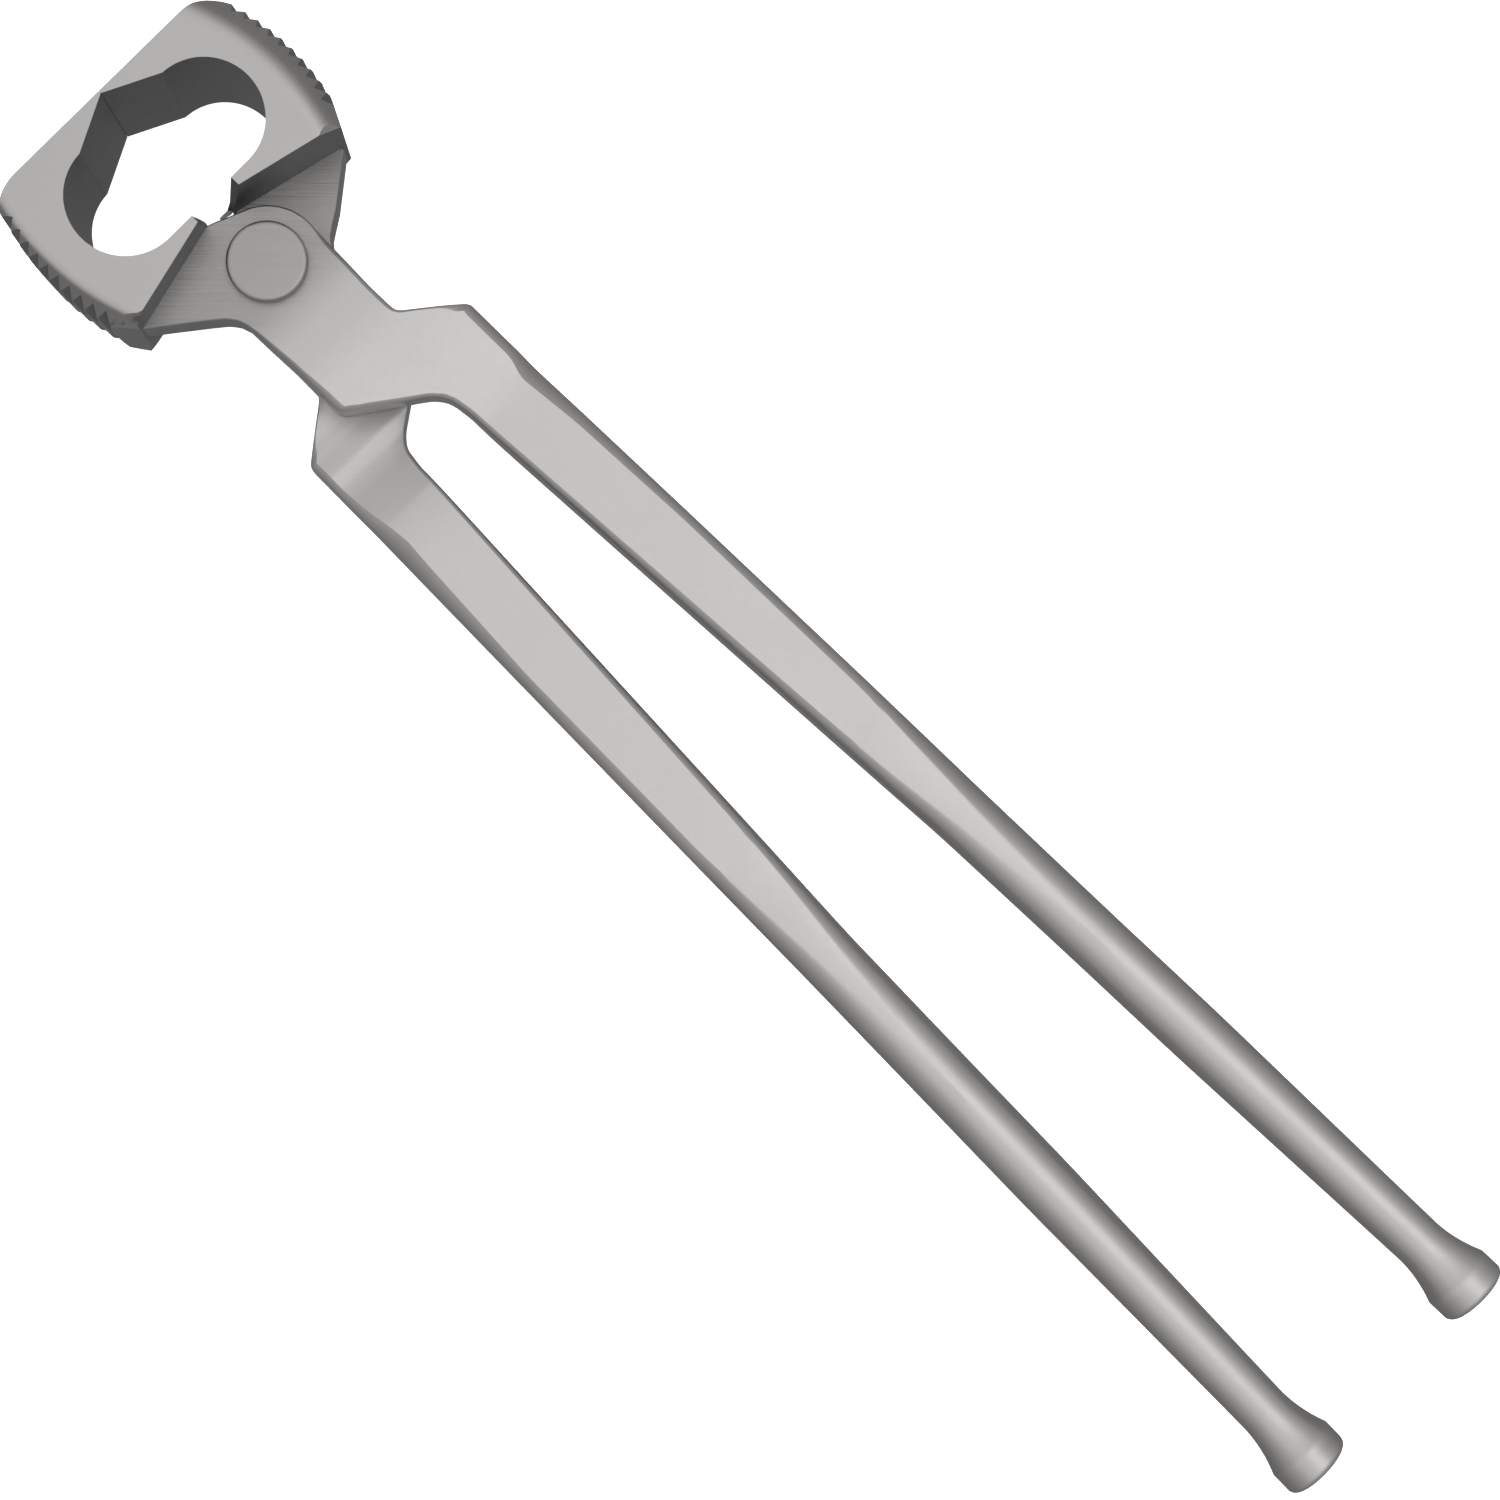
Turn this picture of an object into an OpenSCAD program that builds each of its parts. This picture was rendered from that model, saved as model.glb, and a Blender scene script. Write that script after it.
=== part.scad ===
// Hoof nipper: two forged steel halves that cross and turn on one rivet.
// The tool lies flat, jaws towards -X, reins towards +X, rivet axis along Z.
// Origin: middle of the footprint, on the surface that the head rests on.

/* [Overall] */
// Length from the cutting edge to the ends of the reins
tool_length = 355.6; // [296:0.1:428]
// Distance from the pivot forward to the cutting edge
jaw_reach = 44; // [42:0.1:54]
// Thickness of the head, which is the breadth of the cutting edge
head_t = 37; // [30:0.5:45]
// Width across both jaws at their widest
head_w = 66.5; // [62:0.5:80]
// Thickness of each half where the two lap over each other
lap_t = 8.6; // [7:0.1:10.5]

/* [Jaws] */
// Angle between the ground blade and the front of the head
blade_angle = 26; // [24:0.5:30]
// Flat land left on each cutting edge
edge_land = 0.6; // [0.2:0.1:1.2]
// Radius of the front corners of the head
corner_r = 9.4; // [6:0.1:10]
// Radius of the gently bowed outer side of each jaw
side_r = 48; // [40:1:60]
// Distance from the pivot forward to the widest part of the head
belly_x = 26; // [24:0.5:30]
// Radius of the round scoop at each side of the mouth
mouth_r = 11.7; // [9.7:0.1:12]
// Distance from the pivot forward to the middle of the scoops
mouth_x = 26.3; // [26:0.1:28]
// Distance of each scoop's middle from the tool's axis
mouth_y = 10.6; // [9:0.1:13]
// Where the step wall behind each jaw would cross the tool's axis
step_x = 14; // [13.6:0.1:14.5]
// Slope of the step wall
step_angle = 13.3; // [12:0.1:16]
// How far the inner end of each jaw stays from the tool's axis
root_y = 2.8; // [2:0.1:4]
// Distance from the tool's axis to the jaw's rear outer corner
heel_y = 27.6; // [25:0.1:28.5]
// Slope of the cut across the jaw's rear outer corner
heel_slope = 32; // [28:1:38]
// How far the heel bevel reaches in from the rear outer corner, along the step
heel_bevel_w = 3.2; // [2:0.1:4]
// Direction of the heel bevel's upper edge
heel_bevel_turn = 40; // [35:1:45]
// How far the heel bevel leans over from upright
heel_bevel_lean = 30; // [25:1:35]
// How far the jaw's inner end slants away from the tool's axis over half its height
root_slant_y = 3.3; // [2:0.1:4]

/* [Serrated sides] */
// Number of grooves across the outer side of each jaw
groove_count = 10; // [6:1:11]
// Spacing of the grooves
groove_pitch = 2.9; // [2.4:0.05:3.1]
// Depth of each groove
groove_depth = 1.1; // [0.5:0.1:1.5]
// Width of the bevel along the outer side, measured across the face
side_bevel_w = 4; // [3:0.1:6]
// Height of the same bevel
side_bevel_h = 6; // [4:0.5:8]

/* [Pivot] */
// Radius of the boss round the rivet
boss_r = 11.3; // [10.5:0.1:12]
// Radius of the rivet's shank
rivet_r = 5.5; // [4.5:0.1:6.6]
// Radius of the rivet's heads
rivet_head_r = 7.9; // [7:0.1:9.6]
// How far each rivet head stands proud
rivet_head_h = 2.5; // [1.5:0.1:3.5]
// Chamfer round each rivet head
rivet_chamfer = 0.5; // [0.2:0.1:1]
// Gap round the rivet, and under its head, in the half that turns on it
rivet_clearance = 0.05; // [0.02:0.01:0.08]
// Gap between the two lapped faces
lap_gap = 0.1; // [0.04:0.02:0.3]
// Gap between the two cutting edges when the tool is shut
edge_gap = 0.1; // [0.04:0.02:0.3]

/* [Shank and bend] */
// Width of the shank behind the rivet
shank_w = 22.3; // [20:0.1:22.6]
// Distance from the pivot to the start of the bend's outer slope
bend_out_x = 23.1; // [22:0.1:26]
// Distance from the pivot to the start of the bend's inner slope
bend_in_x = 29.6; // [27:0.1:32]
// Length of the bend's outer slope along the tool
bend_run = 9.4; // [8:0.1:11]
// Steepness of the bend's inner slope
bend_slope = 55; // [52:1:58]
// How far below the rein's inner edge the bend's inner slope ends
crook_h = 3.3; // [3:0.1:4]

/* [Reins] */
// Thickness of the flat stretch of the rein
rein_t = 11; // [10:0.1:14]
// Width of the rein where the flat stretch starts
rein_w = 15.5; // [13:0.1:19]
// Distance from the pivot to the start of the flat stretch
rein_x = 53; // [50:1:60]
// Half the spacing of the two reins at that place
rein_y = 14.9; // [14:0.1:17]
// Diameter of the round stretch that the hand holds
bar_d = 12; // [10:0.1:14.4]
// Distance from the pivot to where the rein has tapered to the bar's width
taper_x = 172; // [150:1:190]
// Half the spacing of the reins at that place
taper_y = 19.3; // [18:0.1:21]
// Distance from the pivot to where the bar is fully round
round_x = 208; // [195:1:225]
// Half the spacing of the reins at their ends
end_y = 23; // [22:0.1:26]

/* [Handle ends] */
// Diameter of the waist before the flared end
waist_d = 10.4; // [9:0.1:12]
// Length over which the bar narrows to the waist
waist_l = 60; // [20:1:60]
// Diameter of the flared rim
rim_d = 14.8; // [12.3:0.1:17.8]
// Length of the rim, with its rounded end
rim_l = 5.5; // [4.5:0.1:7]
// Length of the hollow curve between waist and rim
flare_l = 11; // [8:0.5:14]
// Rounding of the end of the rim
end_r = 1.5; // [0.5:0.1:1.9]

/* [Hidden] */
$fn = 96;

rein_end = tool_length - jaw_reach;
middle_x = tool_length / 2 - jaw_reach;
lap_z0 = lap_gap / 2;
lap_z1 = lap_z0 + lap_t;
head_z = head_t / 2;
side_y = head_w / 2;
plate_x = 8.5;
cut = 60;

// Outer and inner end of the bend, and where its inner slope crosses the axis
bend_out_y = rein_y + rein_w / 2 - 0.3;
crotch_x = bend_in_x + shank_w / 2 / tan(bend_slope);
inner_y = rein_y - rein_w / 2;
bend_end_y = inner_y - crook_h;
bend_end_x = bend_in_x + (shank_w / 2 + bend_end_y) / tan(bend_slope);

// Rounded corner between the lap's slanting edge and the shank, as steps forward
// of the plate's end and out from the shank
neck_steps = [[2.5, 0.3], [4.3, 1], [5.6, 2.2]];

// How deep the lap plate is sunk into the jaw at its root, heel and middle
root_sink = 0.5;
heel_sink = 1;
mouth_sink = 2;

// Point on the step wall at distance y from the tool's axis, moved forward by d
function step_point(y, d = 0) = [-step_x + y * tan(step_angle) - d, -y];

// Point where a line from p touches a circle of radius r about the pivot, going
// round the circle on the side that faces the mouth
function tangent_point(p, r) =
    let (base = atan2(p[1], p[0]), lean = acos(r / norm(p)))
    r * [cos(base - lean), sin(base - lean)];

// Outline of one jaw seen along the rivet, before the mouth is cut
module jaw_blank_outline() {
    corner = [-jaw_reach + corner_r, -side_y + corner_r + 1];
    heel = step_point(heel_y);
    intersection() {
        translate([-belly_x, side_r - side_y]) circle(r = side_r);
        union() {
            translate(corner) circle(r = corner_r);
            polygon([
                [-jaw_reach, -edge_gap / 2],
                [-jaw_reach, corner[1]],
                corner,
                [corner[0], -side_y - 1],
                [heel[0] - 10, -side_y - 1],
                [heel[0] - 10, heel[1] - 10 * tan(heel_slope)],
                heel,
                step_point(root_y),
                step_point(root_y, mouth_x - step_x),
                [-mouth_x, -edge_gap / 2]
            ]);
        }
    }
}

// One side of the mouth: a straight ground blade that runs into a round scoop
module mouth_outline() {
    tip = [-jaw_reach + edge_land, 0];
    scoop_front = [-mouth_x - mouth_r, -mouth_y];
    blade_end_y = (tip[0] - scoop_front[0]) / tan(blade_angle);
    floor_x = -mouth_x + mouth_r;
    translate([-mouth_x, -mouth_y]) circle(r = mouth_r);
    polygon([
        tip,
        [scoop_front[0], max(blade_end_y, -mouth_y)],
        scoop_front,
        [-mouth_x, -mouth_y],
        [floor_x, -mouth_y],
        [floor_x, 1],
        [tip[0], 1]
    ]);
}

// Bevel that follows the bowed side of the jaw, as the ring that it removes
module side_bevel() {
    translate([-belly_x, side_r - side_y, 0])
        rotate_extrude()
            polygon([
                [side_r - side_bevel_w, head_z + 0.01],
                [side_r + 0.01, head_z - side_bevel_h],
                [side_r + 9, head_z - side_bevel_h],
                [side_r + 9, head_z + 1],
                [side_r - side_bevel_w, head_z + 1]
            ]);
}

// V-shaped cutter that points inwards, with its tip on the groove's floor
module groove_cutter(length) {
    half_w = groove_pitch / 2;
    linear_extrude(length, center = true)
        polygon([
            [0, 0],
            [-half_w - 0.6, -groove_depth - 0.9],
            [half_w + 0.6, -groove_depth - 0.9]
        ]);
}

// The row of grooves across the jaw's outer side, upright and along both bevels
module side_grooves() {
    step = groove_pitch / side_r * 180 / PI;
    lean = atan2(side_bevel_w, side_bevel_h);
    for (i = [0 : groove_count - 1])
        translate([-belly_x, side_r - side_y, 0])
            rotate([0, 0, (i - (groove_count - 1) / 2) * step])
                translate([0, -side_r + groove_depth, 0]) {
                    groove_cutter(head_t + 2);
                    for (side = [-1, 1])
                        translate([0, 0, side * (head_z - side_bevel_h)])
                            rotate([-side * lean, 0, 0])
                                translate([0, 0, side * cut / 4])
                                    groove_cutter(cut / 2);
                }
}

// Sloping cut at the rear outer corner, on the side with the low step
module heel_bevel() {
    heel = step_point(heel_y - heel_bevel_w);
    translate([heel[0], heel[1], head_z])
        rotate([0, 0, heel_bevel_turn])
            rotate([-heel_bevel_lean, 0, 0])
                translate([-cut / 2, -cut, -cut / 2]) cube(cut);
}

// Slanted inner end of the jaw on the side with the tall step
module root_slant() {
    lean = atan2(root_slant_y, head_z);
    translate([-step_x, -root_y, 0])
        rotate([-lean, 0, 0])
            translate([-cut / 8, 0, -cut]) cube([cut / 4, cut, cut]);
}

module jaw() {
    difference() {
        linear_extrude(head_t, center = true)
            difference() {
                jaw_blank_outline();
                mouth_outline();
            }
        side_bevel();
        mirror([0, 0, 1]) side_bevel();
        side_grooves();
        heel_bevel();
        root_slant();
    }
}

// Flat plate round the rivet that joins the jaw to the shank
module lap_plate(bore_r) {
    root = step_point(root_y + 0.3, root_sink);
    half_w = shank_w / 2;
    translate([0, 0, lap_z0])
        linear_extrude(lap_t)
            difference() {
                union() {
                    circle(r = boss_r);
                    polygon([
                        root,
                        tangent_point(root, boss_r),
                        [0, half_w],
                        [plate_x, half_w],
                        [plate_x, -half_w],
                        each [for (s = neck_steps) [plate_x - s[0], -half_w - s[1]]],
                        step_point(heel_y - 0.6, heel_sink),
                        step_point(mouth_y + mouth_r / 2, mouth_sink)
                    ]);
                }
                circle(r = bore_r);
            }
}

// Stations along the bend and the rein, from the plate to the round bar
stations = [
    plate_x - 1, bend_out_x, bend_out_x + bend_run / 3, bend_in_x,
    bend_out_x + bend_run, (bend_out_x + bend_run + crotch_x) / 2,
    crotch_x, bend_end_x, bend_end_x + 2, bend_end_x + 4, bend_end_x + 8,
    rein_x, rein_x + 7, 75, 92, 117, 140, 156, 164, taper_x, 182, 194, round_x
];

// Outer and inner edge of the bend and rein at station x
function outer_y(x) = lookup(x, [
    [plate_x, shank_w / 2], [bend_out_x, shank_w / 2], [bend_out_x + bend_run, bend_out_y],
    [rein_x, rein_y + rein_w / 2], [taper_x, taper_y + bar_d / 2],
    [rein_end, end_y + bar_d / 2]]);
function inner_edge_y(x) = lookup(x, [
    [plate_x, -shank_w / 2], [bend_in_x, -shank_w / 2], [bend_end_x, bend_end_y],
    [bend_end_x + 2, inner_y - 1.6], [bend_end_x + 4, inner_y - 0.8],
    [bend_end_x + 8, inner_y - 0.2], [rein_x, inner_y],
    [taper_x, taper_y - bar_d / 2], [rein_end, end_y - bar_d / 2]]);

// Height of the top, of the underside at both edges, and of its break point
function top_z(x) = lookup(x, [[bend_out_x, lap_z1], [rein_x - 4, rein_t / 2],
    [taper_x, bar_d / 2]]);
function under_outer_z(x) = lookup(x, [[bend_out_x, lap_z0], [rein_x - 4, -rein_t / 2],
    [taper_x, -bar_d / 2]]);
function under_inner_z(x) = lookup(x, [[crotch_x + 0.8, lap_z0], [rein_x - 4, -rein_t / 2],
    [taper_x, -bar_d / 2]]);
function break_y(x) =
    x < crotch_x + 0.1 ? min(0.5 - inner_edge_y(x), outer_y(x) - 2)
                 : inner_edge_y(x) + 0.3 * (outer_y(x) - inner_edge_y(x)) + 1.5;

// How far the sweep's first ring sinks into the plate and its last one swells out
// of the round bar, so that they overlap cleanly
start_sink = 0.04;
end_swell = 0.12;

// Width of the ground bevel along the outer edge, the inner edge, and how far
// each has turned from a flat bevel (0) into a full round (1)
function outer_bevel(x) = lookup(x, [[plate_x, 1.6], [bend_out_x, 2.2],
    [bend_out_x + bend_run, 3.6], [46, 3], [rein_x - 3, 4.4], [rein_x + 7, 3.4],
    [92, 2.1], [140, 2.3], [156, 3.3], [taper_x, 4.3], [194, 5.4],
    [round_x, bar_d / 2 - 0.3]]);
function inner_bevel(x) = lookup(x, [[plate_x, 0.6], [20, 1.1], [bend_in_x, 2],
    [crotch_x, 1], [rein_x, 1.3], [117, 1.7], [140, 1.9], [156, 2.4],
    [taper_x, 3.6], [194, 5.2], [round_x, bar_d / 2 - 0.3]]);
function roundness(x) = lookup(x, [[bend_in_x, 0.5], [rein_x, 0.35], [140, 0.4],
    [round_x, 1]]);

// Point k of six along a corner that turns from angle 90q, r wide
function corner_point(q, k, r, blend) =
    let (
        a = 90 * q + 7.5 + 15 * k,
        u = (7.5 + 15 * k) / 90,
        flat = [(1 - u) * cos(90 * q) - u * sin(90 * q), (1 - u) * sin(90 * q) + u * cos(90 * q)]
    )
    r * (blend * [cos(a), sin(a)] + (1 - blend) * flat);

// Cross-section at station x: four rounded corners of six points each, with
// one more point where the underside of the bend starts to slope. The first one
// is a little inside the plate, and the last a little outside the round bar.
function section(x) =
    let (
        sink = x < plate_x ? start_sink : (x < round_x ? 0 : -end_swell),
        yo = outer_y(x) - sink,
        yi = inner_edge_y(x) + sink,
        zt = top_z(x) - sink,
        zo = under_outer_z(x) + sink,
        zi = under_inner_z(x) + sink,
        ro = min(outer_bevel(x), (zt - zi) / 2 - 0.1),
        ri = min(inner_bevel(x), (zt - zi) / 2 - 0.1),
        r = [ro, ri, ri, ro],
        corners = [[yo - ro, zt - ro], [yi + ri, zt - ri], [yi + ri, zi + ri], [yo - ro, zo + ro]],
        blend = roundness(x),
        arcs = [for (q = [0 : 3]) [for (k = [0 : 5])
            let (c = corners[q] + corner_point(q, k, r[q], blend))
            [x, c[0], c[1]]]],
        foot_z = arcs[2][5][2]
    )
    concat(arcs[0], arcs[1], arcs[2],
        [[x, min(max(break_y(x), yi + ri + 0.1), yo - ro - 0.1), foot_z]],
        arcs[3]);

// Bend and rein as one body that sweeps through the stations
module bend_and_rein() {
    rings = [for (x = stations) section(x)];
    n = len(rings[0]);
    m = len(rings);
    points = [for (ring = rings) each ring];
    sides = [for (i = [0 : m - 2]) for (j = [0 : n - 1])
        let (a = i * n + j, b = i * n + (j + 1) % n)
        each [[a, b + n, b], [a, a + n, b + n]]];
    polyhedron(points, concat(
        [[for (j = [0 : n - 1]) j]],
        sides,
        [[for (j = [n - 1 : -1 : 0]) (m - 1) * n + j]]
    ));
}

// Round bar with its waist, hollow flare and rim, turned as one profile
module bar() {
    start_y = taper_y + (end_y - taper_y) * (round_x - taper_x) / (rein_end - taper_x);
    lean = atan2(end_y - start_y, rein_end - round_x);
    length = (rein_end - round_x - (rim_d / 2 - end_r) * sin(lean)) / cos(lean);
    flare_x = length - rim_l - flare_l;
    flare_h = (rim_d - waist_d) / 2;
    translate([round_x, start_y, 0])
        rotate([0, 90, lean])
            rotate_extrude()
                polygon(concat(
                    [[0, -1], [bar_d / 2, -1], [bar_d / 2, flare_x - waist_l]],
                    [for (i = [0 : 8]) let (u = i / 8)
                        [waist_d / 2 + flare_h * u * u, flare_x + flare_l * u]],
                    [for (i = [0 : 6]) let (a = 15 * i)
                        [rim_d / 2 - end_r + end_r * cos(a), length - end_r + end_r * sin(a)]],
                    [[0, length]]
                ));
}

// One forged half, jaw on the -Y side and rein on the +Y side, lapping above Z = 0
module half(bore_r) {
    jaw();
    lap_plate(bore_r);
    bend_and_rein();
    bar();
}

// Moves a piece from the pivot to the part's origin
module in_place() {
    translate([-middle_x, 0, head_z]) children();
}

module front_half() {
    color([0.71, 0.71, 0.71]) in_place() half(rivet_r);
}

module rear_half() {
    color([0.64, 0.64, 0.65]) in_place() rotate([180, 0, 0]) half(rivet_r + rivet_clearance);
}

module rivet() {
    rear_z = lap_z1 + rivet_clearance;
    color([0.78, 0.78, 0.78])
        in_place()
            rotate_extrude()
                polygon([
                    [0, -rear_z - rivet_head_h],
                    [rivet_head_r - rivet_chamfer, -rear_z - rivet_head_h],
                    [rivet_head_r, -rear_z - rivet_head_h + rivet_chamfer],
                    [rivet_head_r, -rear_z],
                    [rivet_r, -rear_z],
                    [rivet_r, lap_z1],
                    [rivet_head_r, lap_z1],
                    [rivet_head_r, lap_z1 + rivet_head_h - rivet_chamfer],
                    [rivet_head_r - rivet_chamfer, lap_z1 + rivet_head_h],
                    [0, lap_z1 + rivet_head_h]
                ]);
}

front_half();
rear_half();
rivet();
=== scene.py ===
# %% [markdown]
# # A hoof nipper in ground steel
# The tool is two forged halves that cross at one rivet. Each half is a broad jaw with a
# blade, a flat lap plate round the rivet, an offset bend and a long handle, which smiths
# call a rein. This file models both halves and the rivet, gives them a ground steel
# finish, and sets up a plain pale floor, soft light and a camera.

import math

import bmesh
import bpy
from mathutils import Matrix, Vector


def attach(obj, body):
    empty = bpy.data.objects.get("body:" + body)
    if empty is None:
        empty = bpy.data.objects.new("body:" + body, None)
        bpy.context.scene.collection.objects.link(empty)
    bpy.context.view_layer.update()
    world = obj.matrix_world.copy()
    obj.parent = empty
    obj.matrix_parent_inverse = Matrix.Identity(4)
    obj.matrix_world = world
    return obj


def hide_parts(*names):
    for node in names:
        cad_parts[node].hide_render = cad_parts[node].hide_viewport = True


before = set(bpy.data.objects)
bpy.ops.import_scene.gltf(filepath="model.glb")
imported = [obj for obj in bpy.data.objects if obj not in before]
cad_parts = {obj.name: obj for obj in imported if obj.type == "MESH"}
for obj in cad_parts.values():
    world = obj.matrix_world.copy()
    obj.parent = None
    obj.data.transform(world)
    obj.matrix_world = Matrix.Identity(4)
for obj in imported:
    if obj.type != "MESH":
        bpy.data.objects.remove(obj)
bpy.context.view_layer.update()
print("nodes:", sorted(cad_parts))

# %% [markdown]
# ## Measuring from the rivet
# Every size on a plier-like tool is easiest to give from its pivot: forward to the cutting
# edge, back to the handle ends, up and down from the lap. So the script works in
# millimetres from the rivet's middle, and `at` turns such a place into the model's metres.

# %% Places and sizes
MM = 0.001
PIVOT = Vector((-0.1338, 0.0, 0.0185))
HEAD_Z = 18.5  # half the jaw's thickness
LAP_TOP = 8.65  # upper face of the front half's lap plate
LAP_FOOT = 0.05  # its lower face, just clear of the other half
REACH = 44.0  # rivet to cutting edge
REIN_END = 311.6  # rivet to the end of a rein


def at(x, y, z=0.0):
    return (PIVOT.x + x * MM, PIVOT.y + y * MM, PIVOT.z + z * MM)


print("rivet stands at", tuple(round(v, 4) for v in PIVOT))

# %% [markdown]
# ## Two materials
# The forging shows bright ground steel, and a dark material in the mouth, on the step walls
# and in the notches: partly the forge skin where a wheel can't reach, partly painted shade in
# these hollows. A boolean cut can leave its cutter's material on the faces that it makes, so
# cutters for those places are painted dark, and the cut colours itself. Both materials are
# named here, and get their nodes near the end.

# %% Name the two materials
STEEL = bpy.data.materials.new("ground steel")
# A dark material for the mouth, step walls and notches: partly forge skin, partly painted shade in these
# hollows.
SKIN_AND_SHADE = bpy.data.materials.new("dark skin and painted shade")
print("finishes:", STEEL.name, "and", SKIN_AND_SHADE.name)

# %% [markdown]
# ## A few bench habits
# An operator acts on whatever is selected, so each step starts from a clean selection.
# Edges and faces are then picked by where they are, as a hand would pick them on screen.


# %% Selecting and painting
def put_down():
    if bpy.context.object and bpy.context.object.mode != "OBJECT":
        bpy.ops.object.mode_set(mode="OBJECT")
    bpy.ops.object.select_all(action="DESELECT")


def pick_up(piece, kind="VERT"):
    put_down()
    piece.select_set(True)
    bpy.context.view_layer.objects.active = piece
    bpy.ops.object.mode_set(mode="EDIT")
    bpy.ops.mesh.select_mode(type=kind)
    bpy.ops.mesh.select_all(action="DESELECT")
    return bmesh.from_edit_mesh(piece.data)


def paint(piece, material):
    piece.data.materials.clear()
    piece.data.materials.append(material)


def settle(piece, name):
    bpy.ops.object.transform_apply(location=True, rotation=True, scale=True)
    piece.name = name
    piece.data.name = name
    paint(piece, STEEL)
    return piece


def from_pivot(point):
    return (Vector(point) - PIVOT) / MM


print("a place at the rivet measures", tuple(from_pivot(PIVOT)), "mm from it")

# %% [markdown]
# ## Bevels, cuts and slices
# Four kinds of work shape the steel here. Edges are softened by bevel, one solid is taken
# from another by a boolean modifier that is applied at once, a flat wheel is a bisect that
# throws one side away, and a merge of doubles afterwards keeps the skin closed.


# %% Working on a piece
MERGE = 0.002


def soften(piece, width, segments, wanted):
    """Bevels the edges for which wanted(middle, edge) is true, in millimetres from the pivot."""
    mesh = pick_up(piece, "EDGE")
    for edge in mesh.edges:
        middle = from_pivot((edge.verts[0].co + edge.verts[1].co) / 2)
        edge.select_set(bool(wanted(middle, edge)))
    found = any(edge.select for edge in mesh.edges)
    bmesh.update_edit_mesh(piece.data)
    if found:
        bpy.ops.mesh.bevel(offset=width * MM, segments=segments, profile=0.5,
                           affect="EDGES", clamp_overlap=True)
    put_down()


def cut_with(piece, tool, how="DIFFERENCE"):
    """Applies a boolean with the tool, which is used up."""
    put_down()
    step = piece.modifiers.new("cut", "BOOLEAN")
    step.operation = how
    step.solver = "EXACT"
    step.material_mode = "TRANSFER"
    step.object = tool
    piece.select_set(True)
    bpy.context.view_layer.objects.active = piece
    bpy.ops.object.modifier_apply(modifier=step.name)
    bpy.data.objects.remove(tool)
    return piece


def true_up(piece):
    """Merges points that lie together and turns every face outwards."""
    pick_up(piece)
    bpy.ops.mesh.select_all(action="SELECT")
    bpy.ops.mesh.remove_doubles(threshold=MERGE * MM)
    bpy.ops.mesh.normals_make_consistent(inside=False)
    put_down()


def slice_off(piece, through, outwards):
    """Cuts the piece flat at a plane and throws away what lies on the outer side."""
    pick_up(piece, "FACE")
    bpy.ops.mesh.select_all(action="SELECT")
    bpy.ops.mesh.bisect(plane_co=at(*through), plane_no=outwards, use_fill=True, clear_outer=True)
    put_down()


print("points closer than", MERGE, "mm are merged")

# %% [markdown]
# ## Blocks and lathe work
# Every piece starts as a plain block or a disc. A disc whose end face is pulled on and
# resized step by step is the same idea as turning on a lathe, and it leaves even rings
# that later cuts and bevels can rely on.


# %% Making a piece
def block(name, low, high):
    """A box between two corners, in millimetres from the pivot."""
    put_down()
    middle = [(a + b) / 2 for a, b in zip(low, high)]
    size = [(b - a) * MM for a, b in zip(low, high)]
    bpy.ops.mesh.primitive_cube_add(size=1, location=at(*middle), scale=size)
    return settle(bpy.context.object, name)


def turned(name, profile, centre=(0.0, 0.0), sides=96):
    """Lathe work: a disc whose end face is pulled on and resized, one profile step at a time."""
    put_down()
    radius, height = profile[0]
    bpy.ops.mesh.primitive_circle_add(vertices=sides, radius=radius * MM, fill_type="NGON",
                                      location=at(centre[0], centre[1], height))
    piece = settle(bpy.context.object, name)
    pick_up(piece, "FACE")
    bpy.ops.mesh.select_all(action="SELECT")
    for next_radius, next_height in profile[1:]:
        bpy.ops.mesh.extrude_region_move(
            TRANSFORM_OT_translate={"value": (0, 0, (next_height - height) * MM)})
        if next_radius != radius:
            grow = next_radius / radius
            bpy.ops.transform.resize(value=(grow, grow, 1),
                                     center_override=at(centre[0], centre[1], next_height))
        radius, height = next_radius, next_height
    put_down()
    true_up(piece)
    return piece


def prism(name, outline, low, high):
    """An outline, given as points round the circle's corners, pulled up to a height."""
    put_down()
    bpy.ops.mesh.primitive_circle_add(vertices=len(outline), radius=MM, fill_type="NGON",
                                      location=at(0, 0, low))
    piece = settle(bpy.context.object, name)
    for vertex, (x, y) in zip(piece.data.vertices, outline):
        vertex.co = at(x, y, low)
    pick_up(piece, "FACE")
    bpy.ops.mesh.select_all(action="SELECT")
    bpy.ops.mesh.extrude_region_move(TRANSFORM_OT_translate={"value": (0, 0, (high - low) * MM)})
    put_down()
    true_up(piece)
    return piece


print("three ways to start: block, turned and prism")

# %% [markdown]
# ## The jaw
# The jaw is a thick block whose outer side is gently bowed and whose two outer edges are
# ground away, more towards the heel than at the front. Grinding on a wheel leaves round
# surfaces, so a box is trimmed by three large turned barrels: one for the bowed side and one
# for each ground edge, with its soft shoulder. Flat slices then give the step wall and heel.

# %% Jaw block
STEP_X = 14.0  # rivet to the step wall, on the middle line
STEP_ANGLE = math.radians(13.3)
TALL_WALL = 0.5  # the leaning slice starts this much nearer the rivet
BLANK_SIDE = 33.6
BLADE_GAP = 0.05
CORNER_R = 11.2
BOW_R = 48.0
BOW_X = -26.0
LOW_BEVEL = 2.3
TALL_BEVEL = 4.9
BARREL_SIDES = 256
LOW_HEEL = ((-12.4, -28.0, 22), (-10.4, -26.6, 46), (-8.5, -24.3, 68))  # x, y and turn of each flat
TALL_HEEL = ((-12.6, -27.4, 25), (-9.6, -25.6, 62))
LOW_HEEL_FALL = 0.55
TALL_HEEL_FALL = -0.9


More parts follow.
